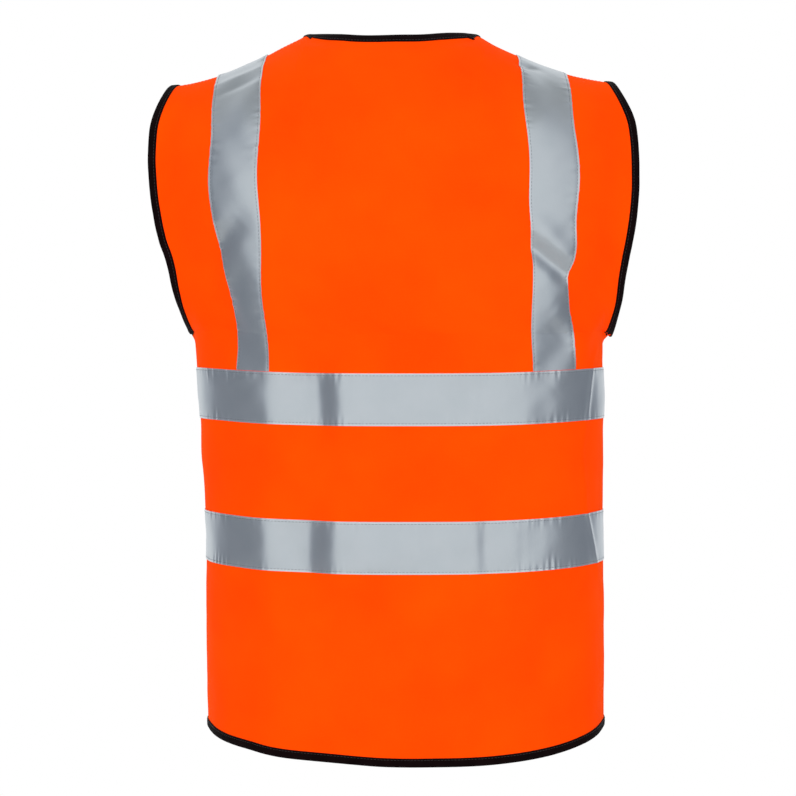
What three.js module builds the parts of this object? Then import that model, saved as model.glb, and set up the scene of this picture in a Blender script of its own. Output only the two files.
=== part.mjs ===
// High visibility vest, as worn: three fabric panels, reflective tapes, folded bindings, a
// hook-and-loop front and two labels. Millimetres, +Z up. The wearer faces -Y, so the back is
// on +Y and the wearer's left is +X. The origin is on the ground plane under the middle.
//
// Every panel is a grid of points. A column is a line up the panel and a row is a line round
// the body. Tapes, bindings, patches and labels are laid on the same grid at an offset along
// its normals, so they stay parallel to the panel whatever size is changed.
import * as THREE from 'three';

// Overall sizes
const BACK_LENGTH = 703; // centre back, hem edge to neck edge
const BODY_HALF_HEM = 199; // half width at the hem
const BODY_HALF_CHEST = 204.5; // half width at the underarm
const BODY_DEPTH = 138; // shoulder seam plane to the back or the front
const BODY_SQUARENESS = 2.45; // 2 is an ellipse, more is squarer
const HEM_RISE = 27; // how much higher the hem is at the side seams
const SIDE_RISE = 7.5; // the same for every level above HEM_FAIRING
const HEM_FAIRING = 150;
const RISE_POWER = 2.5;

// Neck, shoulders and armholes
const NECK_HALF = 85;
const NECK_SETBACK = 80; // back neck edge behind the shoulder seam
const NECK_RISE = 9; // shoulder end of the neck above its middle
const SHOULDER_HALF = 222;
const SHOULDER_DROP = 46;
const SHOULDER_POWER = 1.6;
const SHOULDER_ROUND = 130; // height over which the panels roll over the shoulder
const UNDERARM_LEVEL = 410;
const ARMHOLE_BULGE = 28; // armhole edge outside the straight line to the shoulder
const ARMHOLE_SKEW = 1.3;
const ARMHOLE_POWER = 0.6;
const ARMHOLE_SET = 65; // armhole edge away from the shoulder seam plane
const ARMHOLE_RAMP = 0.45; // share of the armhole's height in which it gets there
const V_NECK_LEVEL = 545; // bottom of the front V

// Closure
const LAP = 44; // overlap of the two fronts
const LAP_GAP = 3.2; // over panel's inside above the under panel's outside
const LAP_FULL = LAP / 2 + 4; // distance from the middle where that lift is still whole
const LAP_FADE = LAP_FULL + 36; // and where it has gone
const LAP_TOP_LEVEL = V_NECK_LEVEL + 45; // the fronts have parted here
const LAP_TOP_FADE = 60;
const PATCH_WIDTH = 20;
const PATCH_HEIGHT = 36;
const PATCH_THICKNESS = 0.7;
const PATCH_ABOVE_TAPE = 20; // a pair of patches sits this far above each waist tape
const PATCH_ABOVE_HEM = 42;
const PATCH_BELOW_V = 67;

// Thicknesses and clearances
const FABRIC = 1.2;
const TAPE = 0.5;
const LABEL = 0.4;
const LABEL_GAP = 0.5; // more than GAP, for the tight curve inside the neck
const GAP = 0.3;
const SEAM_GAP = 0.4;

// Tapes
const TAPE_WIDTH = 50;
const LOWER_TAPE_LEVEL = 182;
const UPPER_TAPE_LEVEL = 323;
const BRACE_SHOULDER = 123; // inner edge of the brace at the shoulder seam
const BRACE_CHEST = 128; // and half way down
const BRACE_WAIST = 126; // and at the waist tape
const BRACE_NARROWING = 10; // the tape is turned at the waist, so it looks narrower there

const PATCH_LEVELS = [
  PATCH_ABOVE_HEM,
  LOWER_TAPE_LEVEL + TAPE_WIDTH + PATCH_ABOVE_TAPE,
  UPPER_TAPE_LEVEL + TAPE_WIDTH + PATCH_ABOVE_TAPE,
  V_NECK_LEVEL - PATCH_BELOW_V,
];

// Binding
const BIND_WIDTH = 8;
const BIND_THICKNESS = 0.8;
const BIND_GAP = 0.45;
const HEM_CLEARANCE = BIND_THICKNESS + BIND_GAP; // panel's edge above the ground plane

// Labels
const SIZE_LABEL_WIDTH = 50;
const SIZE_LABEL_HEIGHT = 32;
const CARE_LABEL_WIDTH = 30;
const CARE_LABEL_HEIGHT = 50;
const CARE_LABEL_LEVEL = 90;

// Grid density
const HEM_ROWS = 2;
const UNDERARM_SHARES = [0.035, 0.08, 0.21]; // extra rows where the armhole edge turns
const UPPER_ROWS = 11;
const NECK_COLUMNS = 5;
const FRONT_COLUMNS = 4;
const SIDE_COLUMNS = 6;

const COLOURS = { orange: 0xff5000, silver: 0xa8b0ba, black: 0x161012, white: 0xe8e6e0 };

// ---------------------------------------------------------------- the surface of the vest

const smooth = (t) => {
  const u = THREE.MathUtils.clamp(t, 0, 1);
  return u * u * (3 - 2 * u);
};

// Share of the way from the underarm to the shoulder, 0 at and under the underarm.
const yokeShare = (level) =>
  Math.max(0, (level - UNDERARM_LEVEL) / (BACK_LENGTH - UNDERARM_LEVEL));

function edgeHalfWidth(level) {
  const s = yokeShare(level);
  if (s === 0) {
    const chest = smooth((level - UNDERARM_LEVEL / 2) / (UNDERARM_LEVEL / 2));
    return THREE.MathUtils.lerp(BODY_HALF_HEM, BODY_HALF_CHEST, chest);
  }
  const straight = THREE.MathUtils.lerp(BODY_HALF_CHEST, SHOULDER_HALF, s);
  const arc = Math.max(0, Math.sin(Math.PI * s ** ARMHOLE_SKEW));
  return straight + ARMHOLE_BULGE * arc ** ARMHOLE_POWER;
}

// Distance of the armhole edge from the shoulder seam plane, before the roll at the shoulder.
function edgeSetback(level) {
  const u = Math.min(1, yokeShare(level) / ARMHOLE_RAMP);
  return ARMHOLE_SET * u * (2 - u);
}

// Half width of the whole body section, which runs on past the armhole edge.
function sectionReach(level) {
  const set = edgeSetback(level) / BODY_DEPTH;
  return edgeHalfWidth(level) / (1 - set ** BODY_SQUARENESS) ** (1 / BODY_SQUARENESS);
}

function sectionDepth(x, level) {
  const share = Math.min(1, Math.abs(x) / sectionReach(level));
  return BODY_DEPTH * (1 - share ** BODY_SQUARENESS) ** (1 / BODY_SQUARENESS);
}

function sideRise(x, level) {
  const fade = Math.max(0, 1 - level / HEM_FAIRING) ** 2;
  const rise = SIDE_RISE + (HEM_RISE - SIDE_RISE) * fade;
  return rise * Math.min(1, Math.abs(x) / edgeHalfWidth(level)) ** RISE_POWER;
}

// Height of the top edge: the shoulder line, and the neck edge between its ends.
function topHeight(x, isBack) {
  const corner = BACK_LENGTH + NECK_RISE;
  const ax = Math.abs(x);
  if (ax < NECK_HALF) {
    return isBack ? BACK_LENGTH + NECK_RISE * (ax / NECK_HALF) ** 2 : corner;
  }
  const tip = corner - SHOULDER_DROP;
  const share = Math.max(0, (SHOULDER_HALF - ax) / (SHOULDER_HALF - NECK_HALF));
  return tip + SHOULDER_DROP * share ** SHOULDER_POWER;
}

function topSetback(x, isBack) {
  const share = Math.abs(x) / NECK_HALF;
  return isBack && share < 1 ? NECK_SETBACK * Math.sqrt(1 - share * share) : 0;
}

// Point of the fabric's inner face at sideways place x on a level.
function surfacePoint(x, level, isBack, lift) {
  const s = yokeShare(level);
  const lower = Math.min(level, UNDERARM_LEVEL);
  const base = lower + sideRise(x, lower);
  const top = topHeight(x, isBack);
  const height = THREE.MathUtils.lerp(base, top, s);
  const drop = Math.min(1, (top - height) / SHOULDER_ROUND);
  const roll = Math.sqrt(1 - (1 - drop) ** 2);
  const start = topSetback(x, isBack);
  const depth = start + (sectionDepth(x, level) - start) * roll + SEAM_GAP / 2 + lift;
  return new THREE.Vector3(x, isBack ? depth : -depth, height + HEM_CLEARANCE);
}

// ---------------------------------------------------------------- rows and columns

function fill(from, to, count) {
  return Array.from({ length: count }, (_, i) => from + ((to - from) * (i + 1)) / count);
}

function makeLevels() {
  const lowerTop = LOWER_TAPE_LEVEL + TAPE_WIDTH;
  const upperTop = UPPER_TAPE_LEVEL + TAPE_WIDTH;
  const body = [
    0,
    ...fill(0, LOWER_TAPE_LEVEL, HEM_ROWS),
    lowerTop,
    ...fill(lowerTop, UPPER_TAPE_LEVEL, 2),
    upperTop,
    UNDERARM_LEVEL,
  ];
  const rolled = fill(0, Math.PI / 2, UPPER_ROWS).map((angle) => Math.sin(angle));
  const yoke = [...UNDERARM_SHARES, ...rolled].sort((a, b) => a - b);
  return [...body, ...yoke.map((s) => UNDERARM_LEVEL + (BACK_LENGTH - UNDERARM_LEVEL) * s)];
}
const LEVELS = makeLevels();

// Place of a level among the rows, as a row number with a fraction.
function rowOf(level) {
  const i = Math.max(0, LEVELS.findIndex((value) => value >= level) - 1);
  return i + (level - LEVELS[i]) / (LEVELS[i + 1] - LEVELS[i]);
}

function braceInner(level) {
  const waist = UPPER_TAPE_LEVEL + TAPE_WIDTH;
  const u = THREE.MathUtils.clamp((level - waist) / (BACK_LENGTH - waist), 0, 1);
  const straight = THREE.MathUtils.lerp(BRACE_WAIST, BRACE_SHOULDER, u);
  const middle = (BRACE_WAIST + BRACE_SHOULDER) / 2;
  return straight + (BRACE_CHEST - middle) * 4 * u * (1 - u);
}

function braceOuter(level) {
  const waist = UPPER_TAPE_LEVEL + TAPE_WIDTH;
  const u = smooth((level - waist) / (UNDERARM_LEVEL - waist + 60));
  return braceInner(level) + TAPE_WIDTH - BRACE_NARROWING * (1 - u);
}

// Sideways places from the outer edge of the brace to the armhole or the side seam.
function outerColumns(level) {
  const reach = sectionReach(level);
  const start = Math.asin(braceOuter(level) / reach);
  const end = Math.asin(edgeHalfWidth(level) / reach);
  return fill(start, end, SIDE_COLUMNS).map((angle) => reach * Math.sin(angle));
}

// Places up to the neck corner: even at the waist, even round the neck's arc at the top.
function neckColumns(level) {
  return fill(0, 1, NECK_COLUMNS).map((share) => {
    const round = Math.sin((share * Math.PI) / 2);
    return NECK_HALF * THREE.MathUtils.lerp(share, round, yokeShare(level) ** 2);
  });
}

function backColumns(level) {
  const right = [
    ...neckColumns(level),
    ...fill(NECK_HALF, braceInner(level), 2),
    ...fill(braceInner(level), braceOuter(level), 2),
    ...outerColumns(level),
  ];
  return [...right.map((x) => -x).reverse(), 0, ...right];
}

// Front edge of a front panel: straight from the hem, then the slope of the V neck.
function frontEdge(level) {
  const share = Math.max(0, (level - V_NECK_LEVEL) / (BACK_LENGTH - V_NECK_LEVEL));
  return THREE.MathUtils.lerp(-LAP / 2, NECK_HALF, share);
}

function frontColumns(level) {
  const edge = frontEdge(level);
  return [
    edge,
    edge + BIND_WIDTH,
    ...fill(edge + BIND_WIDTH, braceInner(level), FRONT_COLUMNS),
    ...fill(braceInner(level), braceOuter(level), 2),
    ...outerColumns(level),
  ];
}

// Lift of the over panel where it lies on the under panel.
function lapLift(x, level) {
  const inwards = 1 - smooth((x - LAP_FULL) / (LAP_FADE - LAP_FULL));
  const below = 1 - smooth((level - LAP_TOP_LEVEL) / LAP_TOP_FADE);
  return (FABRIC + LAP_GAP) * inwards * below;
}

// ---------------------------------------------------------------- panels as grids

const BRACE_COLUMNS = { back: NECK_COLUMNS + 2, front: 1 + FRONT_COLUMNS };
const TOP_ROW = LEVELS.length - 1;
const UNDERARM_ROW = LEVELS.indexOf(UNDERARM_LEVEL);

function makePanel({ isBack, mirror = 1, over = false }) {
  const points = LEVELS.map((level) => {
    const places = isBack ? backColumns(level) : frontColumns(level);
    return places.map((x) => {
      const point = surfacePoint(x, level, isBack, over ? lapLift(x, level) : 0);
      point.x *= mirror;
      return point;
    });
  });
  const panel = { points, isBack, mirror, last: points[0].length - 1 };
  panel.normals = points.map((row, v) => row.map((_, u) => gridNormal(panel, u, v)));
  return panel;
}

// On the shoulder and side seams the normal stays in the seam plane, so both sides agree.
function onSeam(panel, u, v) {
  const onSide = v <= UNDERARM_ROW && (u === panel.last || (panel.isBack && u === 0));
  const onShoulder = v === TOP_ROW && Math.abs(panel.points[v][u].x) >= NECK_HALF - GAP;
  return onSide || onShoulder;
}

function gridNormal(panel, u, v) {
  const { points, last } = panel;
  const across = points[v][Math.min(last, u + 1)].clone().sub(points[v][Math.max(0, u - 1)]);
  const up = points[Math.min(TOP_ROW, v + 1)][u].clone().sub(points[Math.max(0, v - 1)][u]);
  const normal = across.cross(up);
  if (panel.isBack !== panel.mirror < 0) {
    normal.negate();
  }
  if (onSeam(panel, u, v)) {
    normal.y = 0;
  }
  return normal.normalize();
}

function mix(grid, u, v) {
  const u0 = Math.min(Math.floor(u), grid[0].length - 2);
  const v0 = Math.min(Math.floor(v), grid.length - 2);
  const low = grid[v0][u0].clone().lerp(grid[v0][u0 + 1], u - u0);
  const high = grid[v0 + 1][u0].clone().lerp(grid[v0 + 1][u0 + 1], u - u0);
  return low.lerp(high, v - v0);
}

const at = (panel, u, v, offset) =>
  mix(panel.points, u, v).addScaledVector(mix(panel.normals, u, v).normalize(), offset);

// From one grid place to another with every whole grid line between them.
function span(from, to) {
  const whole = [];
  for (let i = Math.floor(from) + 1; i < to; i += 1) {
    whole.push(i);
  }
  return [from, ...whole, to];
}

// Grid step from (u, v) in direction (du, dv) that is a given distance long.
function stepFor(panel, u, v, du, dv, distance) {
  const reach = mix(panel.points, u, v).distanceTo(mix(panel.points, u + du, v + dv));
  return distance / reach;
}

// ---------------------------------------------------------------- solids

function closedGeometry(points, faces) {
  const geometry = new THREE.BufferGeometry().setFromPoints(points);
  const volume = faces.reduce((sum, [a, b, c]) => {
    const cross = points[b].clone().cross(points[c]);
    return sum + points[a].dot(cross);
  }, 0);
  const outward = volume > 0 ? faces : faces.map(([a, b, c]) => [a, c, b]);
  geometry.setIndex(outward.flat());
  geometry.computeVertexNormals();
  return geometry;
}

const quad = (a, b, c, d) => [[a, b, c], [a, c, d]];

// A sheet between two offsets over part of a panel's grid.
function sheet(panel, columns, rows, inner, outer) {
  const points = [];
  for (const offset of [inner, outer]) {
    for (const v of rows) {
      for (const u of columns) {
        points.push(at(panel, u, v, offset));
      }
    }
  }
  const width = columns.length;
  const layer = width * rows.length;
  const id = (i, j, k) => k * layer + j * width + i;
  const faces = [];
  for (let j = 0; j + 1 < rows.length; j += 1) {
    for (let i = 0; i + 1 < width; i += 1) {
      const ring = [id(i, j, 0), id(i + 1, j, 0), id(i + 1, j + 1, 0), id(i, j + 1, 0)];
      faces.push([ring[0], ring[2], ring[1]], [ring[0], ring[3], ring[2]]);
      faces.push(...quad(...ring.map((n) => n + layer)));
    }
    faces.push(...quad(id(0, j, 0), id(0, j, 1), id(0, j + 1, 1), id(0, j + 1, 0)));
    const e = width - 1;
    faces.push(...quad(id(e, j, 0), id(e, j + 1, 0), id(e, j + 1, 1), id(e, j, 1)));
  }
  for (let i = 0; i + 1 < width; i += 1) {
    const t = rows.length - 1;
    faces.push(...quad(id(i, 0, 0), id(i + 1, 0, 0), id(i + 1, 0, 1), id(i, 0, 1)));
    faces.push(...quad(id(i, t, 0), id(i, t, 1), id(i + 1, t, 1), id(i + 1, t, 0)));
  }
  return closedGeometry(points, faces);
}

// Folded binding: a channel round the panel's edge, open towards the fabric.
function binding(panel, stations) {
  const near = FABRIC + BIND_GAP;
  const far = near + BIND_THICKNESS;
  const low = -BIND_GAP;
  const lowest = low - BIND_THICKNESS;
  const points = stations.flatMap(({ edge, inner }) => {
    const out = mix(panel.points, ...edge).sub(mix(panel.points, ...inner)).normalize();
    const rim = (offset, beyond) => at(panel, ...edge, offset).addScaledVector(out, beyond);
    return [
      at(panel, ...inner, lowest),
      rim(lowest, BIND_GAP + BIND_THICKNESS),
      rim(far, BIND_GAP + BIND_THICKNESS),
      at(panel, ...inner, far),
      at(panel, ...inner, near),
      rim(near, BIND_GAP),
      rim(low, BIND_GAP),
      at(panel, ...inner, low),
    ];
  });
  const faces = [];
  for (let k = 0; k + 1 < stations.length; k += 1) {
    for (let i = 0; i < 8; i += 1) {
      const a = k * 8 + i;
      const b = k * 8 + ((i + 1) % 8);
      faces.push(...quad(a, b, b + 8, a + 8));
    }
  }
  const end = (stations.length - 1) * 8;
  for (const [a, b, c, d] of [[0, 1, 6, 7], [1, 2, 5, 6], [2, 3, 4, 5]]) {
    faces.push(...quad(a, d, c, b), ...quad(end + a, end + b, end + c, end + d));
  }
  return closedGeometry(points, faces);
}

const COLOUR_FINISH = {
  orange: { roughness: 0.85, metalness: 0 },
  silver: { roughness: 0.4, metalness: 0.3 },
  black: { roughness: 0.8, metalness: 0 },
  white: { roughness: 0.7, metalness: 0 },
};

const vest = new THREE.Group();

function add(name, geometry, colour) {
  const material = new THREE.MeshStandardMaterial({
    color: COLOURS[colour],
    ...COLOUR_FINISH[colour],
  });
  const mesh = new THREE.Mesh(geometry, material);
  mesh.name = name;
  vest.add(mesh);
}

// ---------------------------------------------------------------- fabric panels

const back = makePanel({ isBack: true });
const frontLeft = makePanel({ isBack: false, over: true });
const frontRight = makePanel({ isBack: false, mirror: -1 });
const wholePanel = (panel) =>
  sheet(panel, span(0, panel.last), span(0, TOP_ROW), 0, FABRIC);

add('back_panel', wholePanel(back), 'orange');
add('front_left_panel', wholePanel(frontLeft), 'orange');
add('front_right_panel', wholePanel(frontRight), 'orange');

// ---------------------------------------------------------------- reflective tapes

const TAPE_IN = FABRIC + GAP;
const TAPE_OUT = TAPE_IN + TAPE;
const afterEdgeBinding = (panel, v) =>
  1 + stepFor(panel, 1, v, 1, 0, GAP + BIND_GAP);

function waistTape(panel, level) {
  const row = rowOf(level);
  const from = panel.isBack ? 0 : afterEdgeBinding(panel, row);
  return sheet(panel, span(from, panel.last), [row, row + 1], TAPE_IN, TAPE_OUT);
}

function braceTape(panel, column) {
  const foot = rowOf(UPPER_TAPE_LEVEL + TAPE_WIDTH);
  const gap = stepFor(panel, column, foot, 0, 1, GAP);
  return sheet(panel, span(column, column + 2), span(foot + gap, TOP_ROW), TAPE_IN, TAPE_OUT);
}

const centre = back.last / 2;
for (const [name, panel] of [['back', back], ['front_left', frontLeft], ['front_right', frontRight]]) {
  add(`${name}_lower_waist_tape`, waistTape(panel, LOWER_TAPE_LEVEL), 'silver');
  add(`${name}_upper_waist_tape`, waistTape(panel, UPPER_TAPE_LEVEL), 'silver');
}
add('back_left_brace_tape', braceTape(back, centre + BRACE_COLUMNS.back), 'silver');
add('back_right_brace_tape', braceTape(back, centre - BRACE_COLUMNS.back - 2), 'silver');
add('front_left_brace_tape', braceTape(frontLeft, BRACE_COLUMNS.front), 'silver');
add('front_right_brace_tape', braceTape(frontRight, BRACE_COLUMNS.front), 'silver');

// ---------------------------------------------------------------- bindings

// Stations along the hem, where the channel opens upwards.
function hemStations(panel) {
  const from = panel.isBack ? 0 : afterEdgeBinding(panel, 0);
  return span(from, panel.last).map((u) => {
    const step = stepFor(panel, u, 0, 0, 1, BIND_WIDTH);
    return { edge: [u, 0], inner: [u, step] };
  });
}

// Stations up an edge that is a column of the grid. side is the way into the panel.
function columnStations(panel, column, side, from) {
  return span(from, TOP_ROW).map((v) => {
    const step = stepFor(panel, column, v, side, 0, BIND_WIDTH);
    return { edge: [column, v], inner: [column + side * step, v] };
  });
}

// The channel turns from across the shoulder seam at the neck corner to downwards at the middle.
function neckStations(panel) {
  return span(centre - NECK_COLUMNS, centre + NECK_COLUMNS).map((u) => {
    const turn = (u - centre) / NECK_COLUMNS;
    const along = Math.sign(turn) || 1;
    const sideways = turn * Math.abs(turn) * stepFor(panel, u, TOP_ROW, along, 0, BIND_WIDTH);
    const down = Math.sqrt(1 - turn ** 2) * stepFor(panel, u, TOP_ROW, 0, -1, BIND_WIDTH);
    return { edge: [u, TOP_ROW], inner: [u + sideways, TOP_ROW - down] };
  });
}

// The two halves of an armhole binding start clear of each other above the side seam.
const armholeStart = (panel, column) =>
  UNDERARM_ROW + stepFor(panel, column, UNDERARM_ROW, 0, 1, 3 * BIND_THICKNESS);

function armholeBinding(panel, column, side) {
  return binding(panel, columnStations(panel, column, side, armholeStart(panel, column)));
}

add('back_neck_binding', binding(back, neckStations(back)), 'black');
add('back_left_armhole_binding', armholeBinding(back, back.last, -1), 'black');
add('back_right_armhole_binding', armholeBinding(back, 0, 1), 'black');
add('back_hem_binding', binding(back, hemStations(back)), 'black');
for (const [name, panel] of [['front_left', frontLeft], ['front_right', frontRight]]) {
  add(`${name}_edge_binding`, binding(panel, columnStations(panel, 0, 1, 0)), 'black');
  add(`${name}_armhole_binding`, armholeBinding(panel, panel.last, -1), 'black');
  add(`${name}_hem_binding`, binding(panel, hemStations(panel)), 'black');
}

// ---------------------------------------------------------------- closure

// Column of a front panel at a sideways place of its own, counted from the middle.
function columnAt(places, x) {
  const i = Math.max(0, places.findIndex((value) => value >= x) - 1);
  return i + (x - places[i]) / (places[i + 1] - places[i]);
}

function patch(panel, level, inner, outer) {
  const places = frontColumns(level);
  const columns = span(columnAt(places, -PATCH_WIDTH / 2), columnAt(places, PATCH_WIDTH / 2));
  const rows = span(rowOf(level), rowOf(level + PATCH_HEIGHT));
  return sheet(panel, columns, rows, inner, outer);
}

PATCH_LEVELS.forEach((level, i) => {
  const hook = patch(frontRight, level, FABRIC + GAP, FABRIC + GAP + PATCH_THICKNESS);
  const loop = patch(frontLeft, level, -GAP - PATCH_THICKNESS, -GAP);
  add(`hook_patch_${i + 1}`, hook, 'black');
  add(`loop_patch_${i + 1}`, loop, 'black');
});

// ---------------------------------------------------------------- labels, on the inside

function sizeLabel() {
  const halfColumns = columnAt([0, ...neckColumns(BACK_LENGTH)], SIZE_LABEL_WIDTH / 2);
  const columns = span(centre - halfColumns, centre + halfColumns);
  const top = LEVELS.length - 1 - neckRowsFor(BIND_WIDTH + 2 * BIND_GAP);
  const foot = LEVELS.length - 1 - neckRowsFor(BIND_WIDTH + SIZE_LABEL_HEIGHT);
  return sheet(back, columns, span(foot, top), -LABEL_GAP - LABEL, -LABEL_GAP);
}

// Rows from the middle of the back neck down to a distance along the fabric.
function neckRowsFor(distance) {
  let left = distance;
  for (let row = TOP_ROW; row > 0; row -= 1) {
    const length = back.points[row][centre].distanceTo(back.points[row - 1][centre]);
    if (length > left) {
      return TOP_ROW - row + left / length;
    }
    left -= length;
  }
  return TOP_ROW;
}

function careLabel() {
  const rows = span(rowOf(CARE_LABEL_LEVEL), rowOf(CARE_LABEL_LEVEL + CARE_LABEL_HEIGHT));
  const inset = stepFor(back, back.last - 1, rows[0], 1, 0, 2 * GAP);
  const width = stepFor(back, back.last - 1, rows[0], 1, 0, CARE_LABEL_WIDTH);
  const columns = span(back.last - inset - width, back.last - inset);
  return sheet(back, columns, rows, -GAP - LABEL, -GAP);
}

add('size_label', sizeLabel(), 'white');
add('care_label', careLabel(), 'white');

export default vest;
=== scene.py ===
"""High visibility vest as worn: fluorescent orange fabric, silver reflective tapes, black bindings.

Metres, +Z up, the wearer faces -Y. Every piece is laid on one closed-form surface, so panels,
tapes, bindings and stitches follow the same folds. A place on a panel is (a, level): a runs
round the body from the middle (0) to the side seam or armhole (1), and level is the height
above the hem at the middle.
"""
import math

import bpy
import numpy as np
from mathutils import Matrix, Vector


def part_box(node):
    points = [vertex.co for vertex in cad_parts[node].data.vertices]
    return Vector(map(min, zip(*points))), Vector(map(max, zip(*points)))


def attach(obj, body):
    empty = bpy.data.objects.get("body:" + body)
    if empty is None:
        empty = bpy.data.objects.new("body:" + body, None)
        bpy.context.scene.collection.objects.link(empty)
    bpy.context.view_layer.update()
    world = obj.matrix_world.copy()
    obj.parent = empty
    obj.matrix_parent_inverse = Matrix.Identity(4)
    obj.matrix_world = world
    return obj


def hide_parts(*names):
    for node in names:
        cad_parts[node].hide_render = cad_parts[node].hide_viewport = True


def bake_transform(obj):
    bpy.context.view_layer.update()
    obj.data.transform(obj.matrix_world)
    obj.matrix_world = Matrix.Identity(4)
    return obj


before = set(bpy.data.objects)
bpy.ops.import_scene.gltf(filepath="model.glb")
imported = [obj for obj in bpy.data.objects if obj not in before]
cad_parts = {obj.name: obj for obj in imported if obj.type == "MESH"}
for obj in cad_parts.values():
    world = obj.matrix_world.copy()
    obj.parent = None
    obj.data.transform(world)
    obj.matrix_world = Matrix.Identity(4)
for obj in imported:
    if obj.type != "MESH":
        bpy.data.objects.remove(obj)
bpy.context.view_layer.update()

# ---- sizes from the frame
CAD_FABRIC = 0.0012
CAD_TAPE_FACE = 0.0020  # outer face of a CAD tape above the fabric's inner face
CHEST_EASE = 0.0005  # the underarm is this much wider than the upper tape
panel_low, panel_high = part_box("back_panel")
upper_low, upper_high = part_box("back_upper_waist_tape")
lower_low, lower_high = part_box("back_lower_waist_tape")

HEM_Z = panel_low[2]
NECK_RISE = 0.009
BACK_LENGTH = panel_high[2] - CAD_FABRIC - HEM_Z - NECK_RISE
BODY_DEPTH = panel_high[1] - CAD_FABRIC
HALF_HEM = lower_high[0] - CAD_TAPE_FACE
HALF_CHEST = upper_high[0] - CAD_TAPE_FACE + CHEST_EASE
UPPER_TAPE = upper_low[2] - HEM_Z
LOWER_TAPE = lower_low[2] - HEM_Z
TAPE_WIDTH = 0.050

# ---- shape of the surface
SQUARENESS = 2.45
HEM_RISE = 0.027
SIDE_RISE = 0.0075
HEM_FAIRING = 0.150
RISE_POWER = 3.0
NECK_HALF = 0.085
NECK_SETBACK = 0.080
SHOULDER_HALF = 0.222
SHOULDER_DROP = 0.046
SHOULDER_POWER = 1.6
SHOULDER_ROUND = 0.130
UNDERARM = 0.410
ARMHOLE_BULGE = 0.0160
ARMHOLE_SKEW = 1.3
ARMHOLE_POWER = 0.6
ARMHOLE_SET = 0.065
ARMHOLE_RAMP = 0.45
V_NECK = 0.545
LAP = 0.044
LAP_LIFT = 0.0044
LAP_FULL = LAP / 2 + 0.004
LAP_FADE = LAP_FULL + 0.036
LAP_TOP = V_NECK + 0.045
LAP_TOP_FADE = 0.060
BRACE_SHOULDER = 0.1245
BRACE_CHEST = 0.1305
BRACE_WAIST = 0.1270
SLIM = 0.990  # the worn fabric lies this much closer than its CAD solid
SWAY = (0.0070, -0.0060)  # the garment's middle at the hem and at the neck, towards -X

# ---- cloth
FABRIC = 0.0009
TAPE_LIFT = 0.0004
TAPE_THICK = 0.0004
BIND_WIDTH = 0.0070  # from the fabric's edge inwards
BIND_THICK = 0.0032
STITCH_IN = 0.0022  # tape stitches from the tape's edge
TAPE_STITCH = (0.0034, 0.0026)  # pitch and length
FINE_STITCH = (0.0032, 0.0024)
SEAM_STITCH = (0.0036, 0.0026)
THREAD = 0.00022  # radius
FINE_THREAD = 0.0002


def smooth(t):
    u = np.clip(t, 0.0, 1.0)
    return u * u * (3.0 - 2.0 * u)


def lerp(a, b, t):
    return a + (b - a) * t


def unit(v):
    return v / np.linalg.norm(v, axis=-1, keepdims=True)


# ---- the surface
def yoke_share(level):
    """0 at the underarm and below, 1 at the top."""
    return np.clip((level - UNDERARM) / (BACK_LENGTH - UNDERARM), 0.0, 1.0)


def edge_half(level):
    """Half the width between the panel's side edges: side seams below, armholes above."""
    s = yoke_share(level)
    body = lerp(HALF_HEM, HALF_CHEST, smooth((level - UNDERARM / 2) / (UNDERARM / 2)))
    arc = np.clip(np.sin(np.pi * s**ARMHOLE_SKEW), 0.0, 1.0) ** ARMHOLE_POWER
    yoke = lerp(HALF_CHEST, SHOULDER_HALF, s) + ARMHOLE_BULGE * arc
    return np.where(s > 0, yoke, body)


def edge_setback(level):
    """How far the armhole's edge lies from the plane of the side seams."""
    u = np.minimum(1.0, yoke_share(level) / ARMHOLE_RAMP)
    return ARMHOLE_SET * np.sqrt(u * (2.0 - u))


def section_reach(level):
    """Half width of the whole level section that a panel is part of."""
    part = (edge_setback(level) / BODY_DEPTH) ** SQUARENESS
    return edge_half(level) / (1.0 - part) ** (1.0 / SQUARENESS)


def edge_angle(level):
    """The section's angle at which the panel's side edge lies."""
    return np.arcsin(np.clip(edge_half(level) / section_reach(level), -1.0, 1.0))


def a_of_x(x, level):
    """Place round the body for a sideways distance from the middle."""
    return np.arcsin(np.clip(x / section_reach(level), -1.0, 1.0)) / edge_angle(level)


def top_height(x, back):
    """Height of the neck edge or shoulder seam above the hem."""
    ax = np.abs(x)
    corner = BACK_LENGTH + NECK_RISE
    neck = BACK_LENGTH + NECK_RISE * (ax / NECK_HALF) ** 2 if back else corner
    share = np.clip((SHOULDER_HALF - ax) / (SHOULDER_HALF - NECK_HALF), 0.0, 1.0)
    shoulder = corner - SHOULDER_DROP + SHOULDER_DROP * share**SHOULDER_POWER
    return np.where(ax < NECK_HALF, neck, shoulder)


def top_setback(x, back):
    """How far the neck edge lies behind the shoulder seam."""
    if not back:
        return np.zeros_like(x)
    return NECK_SETBACK * np.sqrt(np.clip(1.0 - (x / NECK_HALF) ** 2, 0.0, 1.0))


def lap_lift(x, level):
    """How far the over panel stands off where it laps the under panel."""
    inwards = 1.0 - smooth((x - LAP_FULL) / (LAP_FADE - LAP_FULL))
    below = 1.0 - smooth((level - LAP_TOP) / LAP_TOP_FADE)
    return LAP_LIFT * inwards * below


PROBE_A = 0.002
PROBE_LEVEL = 0.0004
ON_EDGE = 0.9999  # a place round the body past this is on the panel's side edge
LEVEL_TOLERANCE = 1e-6


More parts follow.
